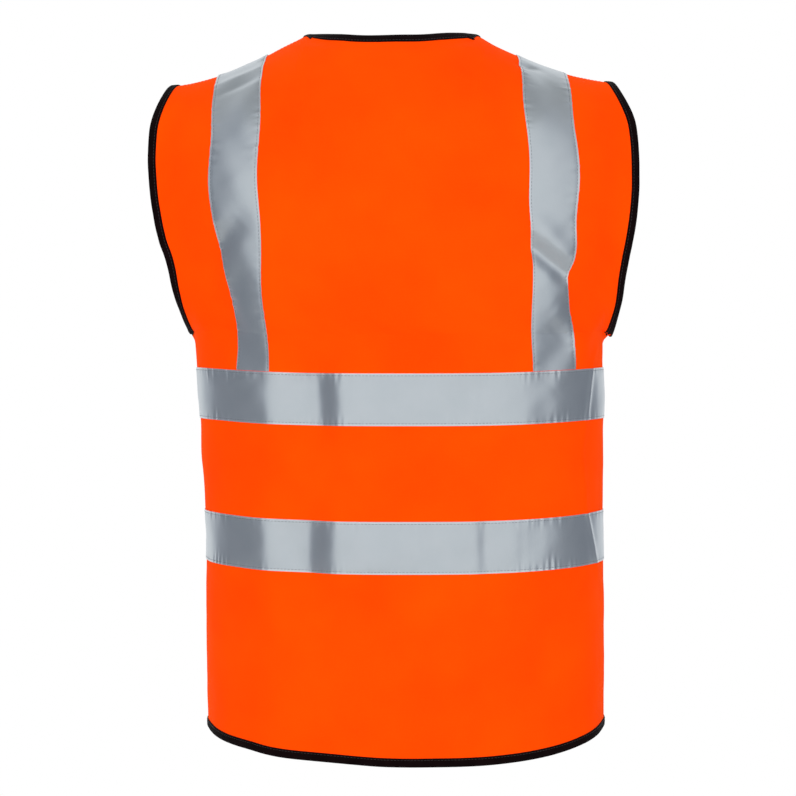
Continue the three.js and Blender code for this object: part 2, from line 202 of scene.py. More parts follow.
class Side:
    """One fabric panel's share of the surface: which face of the body, and on which side."""

    def __init__(self, name, back, mirror=1.0, over=False):
        self.name = name
        self.back = back
        self.mirror = mirror
        self.over = over

    def base(self, a, level):
        """Points of the plain surface, and how far each lies from the middle, before mirroring."""
        a, level = np.broadcast_arrays(np.asarray(a, float), np.asarray(level, float))
        reach = section_reach(level)
        x = reach * np.sin(a * edge_angle(level))
        share = np.clip(np.abs(x) / reach, 0.0, 1.0)
        depth = BODY_DEPTH * (1.0 - share**SQUARENESS) ** (1.0 / SQUARENESS)
        low = np.minimum(level, UNDERARM)
        fade = np.clip(1.0 - low / HEM_FAIRING, 0.0, 1.0) ** 2
        rise = SIDE_RISE + (HEM_RISE - SIDE_RISE) * fade
        foot = low + rise * np.clip(np.abs(x) / edge_half(low), 0.0, 1.0) ** RISE_POWER
        top = top_height(x, self.back)
        z = lerp(foot, top, yoke_share(level))
        drop = np.clip((top - z) / SHOULDER_ROUND, 0.0, 1.0)
        # the nape stands up behind the neck, and the shoulders are round
        nape = np.sqrt(np.clip(1.0 - (x / NECK_HALF) ** 4, 0.0, 1.0)) if self.back else 0.0
        roll = np.clip(1.0 - (1.0 - drop) ** 2, 0.0, 1.0) ** (0.5 + 0.5 * nape)
        start = top_setback(x, self.back)
        y = start + (depth - start) * roll
        return np.stack([x * self.mirror, y if self.back else -y, z + HEM_Z], -1), x

    def normal(self, a, level):
        """Outward normals. Along the side and shoulder seams they lie in the seam's plane."""
        a, level = np.broadcast_arrays(np.asarray(a, float), np.asarray(level, float))
        right = self.base(np.minimum(a + PROBE_A, 1.0), level)[0]
        left = self.base(np.maximum(a - PROBE_A, -1.0), level)[0]
        up = self.base(a, np.minimum(level + PROBE_LEVEL, BACK_LENGTH))[0]
        down = self.base(a, np.maximum(level - PROBE_LEVEL, 0.0))[0]
        n = np.cross(right - left, up - down)
        if self.back != (self.mirror < 0):
            n = -n
        on_side = (np.abs(a) > ON_EDGE) & (level <= UNDERARM + LEVEL_TOLERANCE)
        beside_neck = np.abs(self.base(a, level)[1]) > NECK_HALF
        on_top = (level > BACK_LENGTH - LEVEL_TOLERANCE) & beside_neck
        n[..., 1] = np.where(on_side | on_top, 0.0, n[..., 1])
        return n / np.maximum(np.linalg.norm(n, axis=-1, keepdims=True), 1e-12)

    def flare(self, a, level, point):
        """How far the stiff armhole edge stands off the body."""
        a, level = np.broadcast_arrays(np.asarray(a, float), np.asarray(level, float))
        edge = self.base(np.where(a < 0, -1.0, 1.0), level)[0]
        near = np.clip(1.0 - np.linalg.norm(point - edge, axis=-1) / FLARE_REACH, 0.0, 1.0) ** 2
        above = point[..., 2] - HEM_Z - UNDERARM - SIDE_RISE
        fade = np.where(above > 0, 1.0, np.exp(-((above / FLARE_FOOT) ** 2)))
        fade *= smooth((1.0 - yoke_share(level)) / FLARE_TOP)
        corner = np.exp(-((above / CORNER_REACH) ** 2)) * UNDERARM_STAND
        high = lerp(FLARE_LOW, 1.0, smooth(yoke_share(level) / FLARE_RISE))
        return (FLARE * high + np.where(point[..., 0] < 0, corner, -0.3 * corner)) * near * fade

    def skin(self, a, level, offset=0.0, bulge=0.0):
        """Points at an offset outwards from the fabric's inner face, folds included."""
        point, x = self.base(a, level)
        n = self.normal(a, level)
        stand = folds(point, self.back) + self.flare(a, level, point) + offset + bulge
        out = point + n * stand[..., None]
        if self.over:
            out[..., 1] -= lap_lift(x, np.broadcast_to(level, x.shape))
        return worn(out, x, level, self.back), n


# ---- how it hangs
FLARE = 0.011  # the armhole's edge off the body, high in the yoke
FLARE_LOW = 0.55  # share of that at the underarm
FLARE_RISE = 0.45  # share of the yoke's height in which it grows
FLARE_TOP = 0.22  # and in which it goes again under the shoulder seam
FLARE_REACH = 0.028  # from the edge into the panel
FLARE_FOOT = 0.008  # and down the side seam
UNDERARM_STAND = 0.004
CORNER_REACH = 0.035

COLLAR_STAND = 0.0022
COLLAR_DIP = 0.0035
COLLAR_REACH = 0.020
COLLAR_PAST = 0.004  # beyond the neck's end
COLLAR_FADE = 0.012

TIP_DROP = 0.0035  # the left shoulder's tip hangs lower
HEM_ZONE = 0.16  # height over which the hem's unevenness goes
# Places along the hem, from the middle: (sideways, half width, lift).
HEM_LIFT = (0.085, 0.05, 0.0030)
HEM_DROP = (-0.160, 0.04, -0.0030)
CORNER_DROP = 0.0040  # the hem's left corner hangs lower
CORNER_TUCK = 0.0030  # and further in


def worn(p, x, level, back):
    """How the garment hangs: the collar stands up, and the whole of it sways sideways."""
    if back:
        near = np.clip(1.0 - (BACK_LENGTH - level) / COLLAR_REACH, 0.0, 1.0)
        inside = smooth((NECK_HALF + COLLAR_PAST - np.abs(x)) / COLLAR_FADE)
        p[..., 2] += inside * (COLLAR_STAND * near**2 - COLLAR_DIP * smooth(near * 1.5))
    tip = smooth((p[..., 0] - 0.09) / 0.12) * smooth((level - 0.52) / 0.14)
    p[..., 2] -= TIP_DROP * tip
    low = smooth(1.0 - level / HEM_ZONE)
    corner = low * smooth((p[..., 0] - 0.145) / 0.045)
    for place, half, lift in (HEM_LIFT, HEM_DROP):
        p[..., 2] += low * lift * np.exp(-(((p[..., 0] - place) / half) ** 2))
    p[..., 2] -= CORNER_DROP * corner
    p[..., 0] -= CORNER_TUCK * corner
    p[..., 0] *= SLIM
    p[..., 0] -= lerp(*SWAY, smooth((p[..., 2] - 0.15) / 0.55))
    return p


# ---- folds


def ripple(p, scale, seed, octaves=2):
    """A smooth, repeatable unevenness made of a few crossing waves, from -1 to 1."""
    total = np.zeros(p.shape[:-1])
    rng = np.random.default_rng(seed)
    for _ in range(4 * octaves):
        d = rng.normal(size=3)
        d /= np.linalg.norm(d)
        total += np.sin((p @ d) * (2 * np.pi / scale) * rng.uniform(0.7, 1.5) + rng.uniform(0, 6.3))
    return total / (2.2 * octaves)


def tent(d, inner, outer, crisp):
    """1 at d = 0, falling to 0 over inner on one side and outer on the other; crisp rounds the tip."""
    t = np.where(d < 0, -d / inner, d / outer)
    r = np.sqrt(t * t + crisp * crisp) - crisp
    return (1.0 - smooth(r)) ** 1.2


def ridge(p, a, b, width, height):
    """A long soft fold from a to b."""
    a, b = np.array(a), np.array(b)
    along = np.clip(((p - a) @ (b - a)) / ((b - a) @ (b - a)), 0.0, 1.0)
    d = np.linalg.norm(p - (a + along[..., None] * (b - a)), axis=-1)
    return height * np.exp(-((d / width) ** 2)) * np.sin(np.pi * np.clip(along, 0.02, 0.98)) ** 0.5


# Where the right side seam turns onto the back: (sideways, level).
SEAM_CREASE = (
    (-0.1990, 0.403), (-0.1885, 0.378), (-0.1815, 0.330), (-0.1745, 0.290),
    (-0.1780, 0.235), (-0.1855, 0.190), (-0.1950, 0.150),
)


def crease(p, path, width, height):
    """A narrow ridge down a panel, along places (sideways, level)."""
    xs, levels = np.array(path[::-1]).T
    z = p[..., 2] - HEM_Z - SIDE_RISE
    d = p[..., 0] - np.interp(z, levels, xs)
    ends = smooth((z - levels[0]) / 0.03) * smooth((levels[-1] - z) / 0.02)
    return height * np.exp(-((d / width) ** 2)) * ends


# Valleys across the waist tapes on the back: place, reach towards the middle, reach outwards,
# depth, height of their middle, half height, and how crisp the bottom is.
BACK_VALLEYS = [
    (0.099, 0.038, 0.052, 0.0116, LOWER_TAPE + 0.025, 0.052, 0.03),
    (-0.081, 0.018, 0.045, 0.0041, LOWER_TAPE + 0.025, 0.048, 0.04),
    (0.087, 0.031, 0.042, 0.0098, UPPER_TAPE + 0.018, 0.047, 0.12),
    (-0.081, 0.010, 0.020, 0.0007, UPPER_TAPE + 0.025, 0.050, 0.10),
    (-0.060, 0.012, 0.022, 0.0009, UPPER_TAPE + 0.008, 0.030, 0.30),
    (-0.030, 0.014, 0.014, 0.0008, LOWER_TAPE + 0.030, 0.034, 0.40),
    (-0.148, 0.028, 0.030, 0.0012, UPPER_TAPE + 0.030, 0.060, 0.20),
    (0.152, 0.018, 0.020, 0.0014, LOWER_TAPE + 0.020, 0.040, 0.30),
    (-0.118, 0.014, 0.018, 0.0012, LOWER_TAPE + 0.030, 0.045, 0.25),
]


def valleys(p):
    """The valleys in BACK_VALLEYS, as a distance off the surface, below zero."""
    total = np.zeros(p.shape[:-1])
    for place, inner, outer, depth, middle, half, crisp in BACK_VALLEYS:
        d = (p[..., 0] - place) * math.copysign(1.0, place)
        fade = np.exp(-(((p[..., 2] - HEM_Z - middle) / half) ** 4))
        total -= depth * tent(d, inner, outer, crisp) * fade
    return total


# Soft folds on both faces and both sides of the body: from, to, half width, height.
SIDE_FOLDS = (
    ((0.215, 0.05, 0.45), (0.150, 0.115, 0.36), 0.014, 0.0030),
    ((0.225, 0.06, 0.50), (0.165, 0.105, 0.43), 0.016, -0.0024),
    ((0.120, 0.06, 0.70), (0.150, 0.12, 0.60), 0.018, 0.0016),
)
# And on the back alone: along the braces, across them where they gather, and at the underarm.
BACK_FOLDS = (
    ((0.194, 0.084, 0.516), (0.166, 0.108, 0.366), 0.033, -0.0108),
    ((0.150, 0.125, 0.520), (0.195, 0.090, 0.470), 0.012, -0.0030),
    ((-0.112, 0.125, 0.510), (-0.170, 0.105, 0.464), 0.0090, -0.0066),
    ((-0.118, 0.125, 0.535), (-0.166, 0.105, 0.486), 0.012, 0.0030),
    ((0.128, 0.082, 0.668), (0.182, 0.072, 0.652), 0.0065, -0.0042),
    ((0.128, 0.066, 0.677), (0.182, 0.056, 0.663), 0.0070, 0.0026),
    ((-0.118, 0.064, 0.671), (-0.150, 0.050, 0.681), 0.0065, -0.0036),
    ((-0.150, 0.110, 0.440), (-0.196, 0.075, 0.385), 0.012, 0.0030),
    ((-0.190, 0.080, 0.470), (-0.150, 0.110, 0.410), 0.012, -0.0022),
)
# Unevenness everywhere: height, size and seed.
RIPPLES = ((0.0012, 0.16, 11), (0.0005, 0.05, 12), (0.00016, 0.026, 13))
HANG_DEPTH = 0.0016
HANG_TOP = 0.46
CREASE_WIDTH = 0.0022
CREASE_HEIGHT = 0.0016


def folds(p, back):
    """Distance that the fabric stands off the plain surface."""
    x, y, z = p[..., 0], p[..., 1], p[..., 2]
    angle = np.arctan2(y / BODY_DEPTH, x / HALF_HEM)
    hang = smooth((HANG_TOP - z) / HANG_TOP)
    out = HANG_DEPTH * hang * (np.sin(7 * angle + 0.8) + 0.7 * np.sin(12 * angle + 2.1 + 3 * z))
    for height, scale, seed in RIPPLES:
        out += height * ripple(p, scale, seed)
    face = 1.0 if back else -1.0
    for s in (1.0, -1.0):
        turn = np.array([s, face, 1.0])
        for start, end, width, height in SIDE_FOLDS:
            out += ridge(p, start * turn, end * turn, width, height)
    if back:
        out += valleys(p)
        out += crease(p, SEAM_CREASE, CREASE_WIDTH, CREASE_HEIGHT)
        for start, end, width, height in BACK_FOLDS:
            out += ridge(p, start, end, width, height)
    return out


# ---- panel edges
def front_edge(level):
    """Sideways place of a front panel's inner edge: straight, then up the V to the shoulder."""
    share = np.clip((level - V_NECK) / (BACK_LENGTH - V_NECK), 0.0, None)
    return lerp(-LAP / 2, NECK_HALF, share)


def brace_inner(level):
    """Sideways place of a brace's inner edge, on a gentle curve from the waist to the shoulder."""
    waist = UPPER_TAPE + TAPE_WIDTH
    u = np.clip((level - waist) / (BACK_LENGTH - waist), 0.0, 1.0)
    middle = (BRACE_WAIST + BRACE_SHOULDER) / 2
    return lerp(BRACE_WAIST, BRACE_SHOULDER, u) + (BRACE_CHEST - middle) * 4 * u * (1 - u)


GATHER_BLUR = 0.012


def brace_width(level, gathers):
    """Width of a brace where its gathers, given as (level, loss of width), draw it in."""
    levels, losses = np.array(gathers).T
    near = np.linspace(-GATHER_BLUR, GATHER_BLUR, 7)
    drawn = np.mean([np.interp(level + d, levels, losses) for d in near], axis=0)
    return TAPE_WIDTH - drawn


def panel_levels(step):
    """Levels from the hem to the top, closer together where the yoke rolls over the shoulder."""
    body = np.linspace(0.0, UNDERARM, int(UNDERARM / step) + 1)
    s = np.sin(np.linspace(0.0, np.pi / 2, int(0.36 / step) + 1))[1:]
    first = s[0] * np.array([0.06, 0.2, 0.5])
    return np.concatenate([body, UNDERARM + (BACK_LENGTH - UNDERARM) * np.concatenate([first, s])])


# ---- meshes
SHARP_ANGLE = 48


def make_mesh(name, verts, faces, uv=None, sharp=SHARP_ANGLE):
    """A new object with a mesh; uv has one place on the cloth for each vertex."""
    mesh = bpy.data.meshes.new(name)
    mesh.from_pydata(np.asarray(verts).tolist(), [], faces)
    if uv is not None:
        layer = mesh.uv_layers.new(name="cloth")
        index = np.empty(len(mesh.loops), np.int32)
        mesh.loops.foreach_get("vertex_index", index)
        layer.data.foreach_set("uv", np.asarray(uv, np.float32)[index].ravel())
    mesh.shade_smooth()
    if sharp:
        mesh.set_sharp_from_angle(angle=math.radians(sharp))
    obj = bpy.data.objects.new(name, mesh)
    bpy.context.scene.collection.objects.link(obj)
    return obj


def new_object(name, verts, faces, uv=None, sharp=SHARP_ANGLE):
    """A closed mesh, turned so that its faces look outwards."""
    verts = np.asarray(verts, float)
    corners = [(face[0], face[k], face[k + 1]) for face in faces for k in range(1, len(face) - 1)]
    p, q, r = (verts[index] for index in np.array(corners).T)
    if np.sum(p * np.cross(q, r)) < 0:
        faces = [list(face)[::-1] for face in faces]
    return make_mesh(name, verts, faces, uv, sharp)


def run(points, axis):
    """Distance along a grid's rows or columns, for each of its points."""
    step = np.linalg.norm(np.diff(points, axis=axis), axis=-1)
    total = np.cumsum(step, axis=axis)
    zero = np.zeros_like(np.take(points[..., 0], [0], axis=axis))
    return np.concatenate([zero, total], axis=axis)


def slab(name, inner, outer, uv=None):
    """A closed sheet between two grids of points."""
    rows, cols = outer.shape[:2]
    index = np.arange(rows * cols).reshape(rows, cols)
    a, b = index[:-1, :-1].ravel(), index[:-1, 1:].ravel()
    c, d = index[1:, 1:].ravel(), index[1:, :-1].ravel()
    n = rows * cols
    top = np.stack([a, b, c, d], 1)
    bottom = np.stack([a, d, c, b], 1) + n
    loop = np.concatenate([index[0, :], index[1:, -1], index[-1, -2::-1], index[-2:0:-1, 0]])
    after = np.roll(loop, -1)
    rim = np.stack([loop, loop + n, after + n, after], 1)
    faces = np.concatenate([top, bottom, rim])
    verts = np.concatenate([outer.reshape(-1, 3), inner.reshape(-1, 3)])
    if uv is None:
        uv = np.stack([run(outer, 1), run(outer, 0)], -1)
    uv = uv.reshape(-1, 2)
    row, col = rows // 2, cols // 2
    p = outer[row, col]
    normal = np.cross(outer[row, col - 1] - p, outer[row - 1, col] - p)
    if normal @ (p - inner[row, col]) < 0:
        faces = faces[:, ::-1]
    return make_mesh(name, verts, faces.tolist(), np.concatenate([uv, uv]))


# Girth that a grid's columns are spread over, for the back and for a front.
PANEL_GIRTH = {True: 0.56, False: 0.30}
TAPE_GIRTH = {True: 0.54, False: 0.28}
TAPE_END = 0.0035  # a front's waist tape starts this far in from its edge


def panel_start(side):
    """Where a panel's first column lies, as a function of the level."""
    if side.back:
        return lambda level: np.full_like(level, -1.0)
    return lambda level: a_of_x(front_edge(level), level)


def tape_start(side):
    """The same for a waist tape, which stops short of a front's edge."""
    if side.back:
        return panel_start(side)
    return lambda level: a_of_x(front_edge(level) + TAPE_END, level)


def across(start, girth, step):
    """A row of places for each start, which runs from it to the panel's far side."""
    share = np.linspace(0.0, 1.0, int(girth / step) + 1)
    return start[:, None] + (1.0 - start)[:, None] * share[None, :]


def fabric_panel(side, step):
    """The panel itself, from its inner face to its outer face."""
    levels = panel_levels(step)
    a = across(panel_start(side)(levels), PANEL_GIRTH[side.back], step)
    level = np.broadcast_to(levels[:, None], a.shape)
    inner = side.skin(a, level, 0.0)[0]
    outer = side.skin(a, level, FABRIC)[0]
    return slab(f"{side.name}_fabric", inner, outer)


PUCKER_WAVES = 6
PUCKER_REACH = 0.0028
PUCKER_SPREAD = 0.0045
SEWN_WIDTH = 0.0012
SEWN_DEPTH = 0.00012


def pucker(along, edge, seed, strength):
    """Small gathers at a line of stitches: along is the way along it, edge the distance from it."""
    rng = np.random.default_rng(seed)
    wave = np.zeros_like(along)
    for _ in range(PUCKER_WAVES):
        wave += np.sin(along * 2 * np.pi / rng.uniform(0.0048, 0.012) + rng.uniform(0, 6.3))
    patchy = 0.5 + 0.5 * np.sin(along * 2 * np.pi / rng.uniform(0.11, 0.17) + rng.uniform(0, 6.3))
    patchy *= 0.6 + 0.4 * np.sin(along * 2 * np.pi / rng.uniform(0.02, 0.04) + rng.uniform(0, 6.3))
    reach = PUCKER_REACH + PUCKER_SPREAD * patchy
    return strength * (0.25 + patchy) * (wave / PUCKER_WAVES) * np.exp(-((edge / reach) ** 2))


def tape_lift(along, w, seed, strength):
    """How far a tape's inner face stands off the fabric; w is the distance from its first edge."""
    near, far = w - STITCH_IN, TAPE_WIDTH - w - STITCH_IN
    gather = pucker(along, near, seed, strength) + pucker(along, far, seed + 1, strength)
    sewn = np.exp(-((near / SEWN_WIDTH) ** 2)) + np.exp(-((far / SEWN_WIDTH) ** 2))
    return TAPE_LIFT + np.maximum(gather, -TAPE_LIFT * 0.6) - SEWN_DEPTH * sewn


def build_tape(side, name, a, level, w, axis, seed, strength):
    """A tape over places (a, level), which runs along the grid's given axis."""
    along = run(side.skin(a, level, FABRIC)[0], axis)
    lift = tape_lift(along, w, seed, strength)
    inner = side.skin(a, level, FABRIC, lift)[0]
    outer = side.skin(a, level, FABRIC, lift + TAPE_THICK)[0]
    piece = slab(name, inner, outer, np.stack([along, w], -1))
    finish_piece(piece, side, SILVER, "reflective_tape", name.removesuffix("_cloth"))
    on_panel[side.name].append(piece)


def sew_tape(side, a, level, w, seed, strength):
    """A row of stitches along a tape, on its outer face."""
    along = run(side.skin(a, level, FABRIC)[0], 0)
    lift = tape_lift(along, np.full_like(along, w), seed, strength)
    path, normals = side.skin(a, level, FABRIC, lift + TAPE_THICK)
    tape_stitches[side.name].along(path, normals, *TAPE_STITCH)


WAIST_STEP = 0.0017
BRACE_STEP = 0.0024
WAIST_PUCKER = 0.0010
BRACE_PUCKER = 0.0012
# Places across a tape, from one edge: close together at its stitches.
TAPE_EDGE = (0.0, 0.0006, 0.0014, 0.0022, 0.0030, 0.0042, 0.0058, 0.0078, 0.0102, 0.0130)
TAPE_MIDDLE = 0.0165
BRACE_WANDER = 0.0013  # a brace isn't sewn on quite straight
WANDER_LENGTH = 0.115
WANDER_END = 0.08
TAPE_BUTT = 0.0004  # a brace starts this far above the waist tape


def tape_places():
    """Distances from a tape's first edge to the grid's lines along it."""
    middle = np.linspace(TAPE_MIDDLE, TAPE_WIDTH - TAPE_MIDDLE, 7).tolist()
    return np.array([*TAPE_EDGE, *middle, *(TAPE_WIDTH - w for w in reversed(TAPE_EDGE))])


def waist_tape(side, name, low, seed):
    """A tape round the body whose lower edge is at level low."""
    w = tape_places()
    a = across(tape_start(side)(low + w), TAPE_GIRTH[side.back], WAIST_STEP)
    grid_level, grid_w = (np.broadcast_to(v[:, None], a.shape) for v in (low + w, w))
    build_tape(side, f"{name}_cloth", a, grid_level, grid_w, 1, seed, WAIST_PUCKER)
    for place in (STITCH_IN, TAPE_WIDTH - STITCH_IN):
        sew_tape(side, a[0], np.full_like(a[0], low + place), place, seed, WAIST_PUCKER)


def brace_tape(side, name, sign, gathers, seed):
    """A tape from the upper waist tape to the shoulder seam."""
    w = tape_places()
    waist = UPPER_TAPE + TAPE_WIDTH
    levels = panel_levels(BRACE_STEP)
    levels = np.concatenate([[waist + TAPE_BUTT], levels[levels > waist + 3 * TAPE_BUTT]])
    wave = BRACE_WANDER * np.sin((levels - waist) * 2 * np.pi / WANDER_LENGTH + seed)
    wave *= smooth((BACK_LENGTH - levels) / WANDER_END)
    inner = brace_inner(levels) + wave
    width = brace_width(levels, gathers)
    x = sign * (inner[:, None] + width[:, None] * w[None, :] / TAPE_WIDTH)
    a = a_of_x(x, levels[:, None])
    grid_level, grid_w = (np.broadcast_to(v, a.shape) for v in (levels[:, None], w[None, :]))
    build_tape(side, f"{name}_cloth", a, grid_level, grid_w, 0, seed, BRACE_PUCKER)
    for place in (STITCH_IN, TAPE_WIDTH - STITCH_IN):
        line = sign * (inner + width * place / TAPE_WIDTH)
        sew_tape(side, a_of_x(line, levels), levels, place, seed, BRACE_PUCKER)


PROBE_W = 0.0005
NEWTON_STEPS = 5


def step_inwards(side, a, level, along, into, distance):
    """Places at a distance into the panel, square to an edge; into = (step in a, step in level).

    It works in w, the root of the level's distance below the top, where the yoke rolls evenly.
    """
    w = np.sqrt(np.clip(BACK_LENGTH - level, 0.0, None))
    w_end = math.sqrt(BACK_LENGTH)

    def place(a, w):
        return side.skin(a, BACK_LENGTH - w**2)[0]

    def slopes(a, w):
        here = place(a, w)
        da = np.where(a > 0, -PROBE_A, PROBE_A)
        dw = np.where(w > w_end / 2, -PROBE_W, PROBE_W)
        sideways = (place(a + da, w) - here) / da[..., None]
        down = (place(a, w + dw) - here) / dw[..., None]
        return here, sideways, down

    here, sideways, down = slopes(a, w)
    t = np.cross(np.cross(sideways, down), along)
    inside = side.skin(np.clip(a + into[0], -1, 1), level + into[1])[0] - here
    t *= np.sign(np.sum(t * inside, -1))[..., None]
    target = here + unit(t) * distance
    for _ in range(NEWTON_STEPS):
        here, sideways, down = slopes(a, w)
        miss = target - here
        aa, ad, dd = (np.sum(v, -1) for v in (sideways**2, sideways * down, down**2))
        ma, md = np.sum(miss * sideways, -1), np.sum(miss * down, -1)
        det = aa * dd - ad**2
        a = np.clip(a + (ma * dd - md * ad) / det, -1, 1)
        w = np.clip(w + (md * aa - ma * ad) / det, 0, w_end)
    return a, BACK_LENGTH - w**2


def build_binding(side, node, a, level, into):
    """Folded tape round a panel's edge: a flat round-edged section along it, and its stitches."""
    edge, n = side.skin(a, level, FABRIC / 2)
    along = unit(np.gradient(edge, axis=0))
    inner, n_in = side.skin(*step_inwards(side, a, level, along, into, BIND_WIDTH), FABRIC / 2)
    middle, n_mid = side.skin(*step_inwards(side, a, level, along, into, BIND_WIDTH / 2), FABRIC / 2)
    out = unit(edge - middle)
    half = BIND_THICK / 2
    # the way round the section, then its corners: inner face, fold, outer face
    v = np.array([0.0, 0.5, 1.0, 1.1, 1.2, 1.3, 1.4, 1.9, 2.4, 2.5]) * BIND_WIDTH
    ring = [
        inner - n_in * half * 0.72,
        middle - n_mid * half * 1.05,
        edge - n * half * 0.85,
        edge + out * half * 0.60 - n * half * 0.58,
        edge + out * half * 0.86,
        edge + out * half * 0.60 + n * half * 0.58,
        edge + n * half * 0.90,
        middle + n_mid * half * 1.05,
        inner + n_in * half * 0.80,
        inner + (inner - middle) * 0.07 + n_in * half * 0.30,
    ]
    points = np.stack(ring, 1)
    count, size = points.shape[:2]
    index = np.arange(count * size).reshape(count, size)
    turned = np.roll(index, -1, 1)
    faces = np.stack([index[:-1], turned[:-1], turned[1:], index[1:]], -1).reshape(-1, 4).tolist()
    faces += [index[0, ::-1].tolist(), index[-1].tolist()]
    u = run(edge, 0)
    uv = np.stack(np.broadcast_arrays(u[:, None], v[None, :]), -1).reshape(-1, 2)
    piece = new_object(f"{node}_cloth", points.reshape(-1, 3), faces, uv, 60)
    finish_piece(piece, side, BLACK, "black_binding", node)
    on_panel[side.name].append(piece)
    seam = step_inwards(side, a, level, along, into, BIND_WIDTH * 0.80)
    path, normals = side.skin(*seam, FABRIC / 2 + half * 0.92)
    bind_stitches[side.name].along(path, normals, *FINE_STITCH)


class Stitches:
    """Short threads collected into one mesh."""

    # Rings of one stitch: place along it, share of the radius, and lift in radii.
    RINGS = (
        (-0.5, 0.25, -0.6), (-0.36, 0.9, 0.1), (0.0, 1.0, 0.35), (0.36, 0.9, 0.1), (0.5, 0.25, -0.6)
    )
    SIDES = 6

    def __init__(self, radius=FINE_THREAD):
        self.verts, self.faces = [], []
        self.radius = radius

    def along(self, path, normals, pitch, length):
        """Stitches along a path of points, on the side that the normals point to."""
        s = run(path, 0)

        def at(values, places):
            return np.stack([np.interp(places, s, values[:, k]) for k in range(3)], -1)

        middles = np.arange(pitch, s[-1] - pitch * 0.5, pitch)
        p, q = (at(path, middles + k * length / 2) for k in (-1, 1))
        side = unit(np.cross(q - p, at(normals, middles)))
        n = unit(np.cross(side, q - p))
        turn = (2 * np.pi * np.arange(self.SIDES) / self.SIDES)[:, None]
        spokes = side[:, None] * np.cos(turn) + n[:, None] * np.sin(turn)
        rings = []
        for place, size, lift in self.RINGS:
            centre = (p + q) / 2 + (q - p) * place + n * lift * self.radius
            rings.append(centre[:, None] + spokes * self.radius * size)
        count, last = self.SIDES, self.SIDES * (len(self.RINGS) - 1)
        for start in range(len(self.verts), len(self.verts) + len(middles) * (last + count), last + count):
            for ring in range(start, start + last, count):
                for k in range(count):
                    a, b = ring + k, ring + (k + 1) % count
                    self.faces.append([a, b, b + count, a + count])
            self.faces.append([start + k for k in reversed(range(count))])
            self.faces.append([start + last + k for k in range(count)])
        self.verts.extend(np.stack(rings, 1).reshape(-1, 3))

    def build(self, name, side, material, slot):
        piece = new_object(name, self.verts, self.faces, None, 0)
        finish_piece(piece, side, material, slot)
        on_panel[side.name].append(piece)


# ---- materials
class Tree:
    """The node tree of a material or the world, with short ways to add to it."""

    def __init__(self, owner):
        owner.use_nodes = True
        self.tree = owner.node_tree
        self.tree.nodes.clear()

    def put(self, socket, value):
        """Link another node's output to a socket, or give it a plain value or colour."""
        if isinstance(value, bpy.types.NodeSocket):
            self.tree.links.new(value, socket)
        elif isinstance(value, tuple):
            socket.default_value = (*value, 1.0)
        else:
            socket.default_value = value

    def add(self, kind, inputs=None, **settings):
        node = self.tree.nodes.new(kind)
        for key, value in settings.items():
            setattr(node, key, value)
        for key, value in (inputs or {}).items():
            self.put(node.inputs[key], value)
        return node

    def math(self, operation, *values):
        return self.add("ShaderNodeMath", dict(enumerate(values)), operation=operation).outputs[0]

    def step(self, source, start, end, before=0.0, after=1.0):
        """A smooth change from one value to another as the source goes from start to end."""
        span = {"From Min": start, "From Max": end, "To Min": before, "To Max": after}
        inputs = {"Value": source, **span}
        return self.add("ShaderNodeMapRange", inputs, interpolation_type="SMOOTHSTEP").outputs[0]

    def mix(self, factor, a, b):
        return self.add("ShaderNodeMix", {0: factor, 6: a, 7: b}, data_type="RGBA").outputs[2]


class Nodes(Tree):
    """A material made of one Principled shader."""

    def __init__(self, name):
        self.material = bpy.data.materials.new(name)
        super().__init__(self.material)
        self.shader = self.add("ShaderNodeBsdfPrincipled")
        self.add("ShaderNodeOutputMaterial", {0: self.shader.outputs[0]})

    def cloth_places(self):
        return self.add("ShaderNodeUVMap", uv_map="cloth").outputs[0]

    def solid_places(self):
        return self.add("ShaderNodeTexCoord").outputs["Object"]

    def noise(self, places, scale, detail=3.0):
        inputs = {"Vector": places, "Scale": scale, "Detail": detail, "Roughness": 0.55}
        return self.add("ShaderNodeTexNoise", inputs).outputs["Fac"]

    def wave(self, places, direction, period, distortion=0.0):
        inputs = {"Vector": places, "Scale": math.pi / 10 / period, "Distortion": distortion}
        return self.add("ShaderNodeTexWave", inputs, bands_direction=direction).outputs["Fac"]

    def ramp(self, factor, *stops):
        node = self.add("ShaderNodeValToRGB", {0: factor})
        for element, (place, colour) in zip(node.color_ramp.elements, stops):
            element.position = place
            element.color = (*colour, 1.0)
        return node.outputs[0]

    def bump(self, *layers):
        """Layers of (height, strength, distance), each on the one before."""
        under = {}
        for height, strength, distance in layers:
            inputs = {"Strength": strength, "Distance": distance, "Height": height, **under}
            under = {"Normal": self.add("ShaderNodeBump", inputs).outputs[0]}
        self.set(**under)

    def set(self, **values):
        """Inputs of the shader, with _ for each space in their names."""
        for key, value in values.items():
            self.put(self.shader.inputs[key.replace("_", " ")], value)


def orange_fabric(name, painted_glow):
    m = Nodes(name)
    uv = m.cloth_places()
    broad = m.noise(uv, 9.0)
    fine = m.noise(uv, 420.0, 2.0)
    colour = m.ramp(broad, (0.30, (0.90, 0.050, 0.0)), (0.70, (0.97, 0.072, 0.0)))
    m.set(Base_Color=m.mix(m.math("MULTIPLY", fine, 0.14), colour, (0.98, 0.12, 0.0)))
    wales = m.wave(uv, "X", 0.0011, 0.4)
    courses = m.wave(uv, "Y", 0.0014, 0.6)
    m.bump((m.math("MULTIPLY", wales, courses), 0.30, 0.00022), (m.noise(uv, 900.0, 2.0), 0.2, 0.0001))
    m.set(Roughness=0.85, Sheen_Weight=0.20, Sheen_Roughness=0.5, Sheen_Tint=(1.0, 0.22, 0.0))
    # The emission is painted light: the fabric glows by itself at this strength, standing in for its
    # fluorescence.
    m.set(Emission_Color=(1.0, 0.030, 0.0), Emission_Strength=painted_glow, Specular_IOR_Level=0.03)
    return m.material


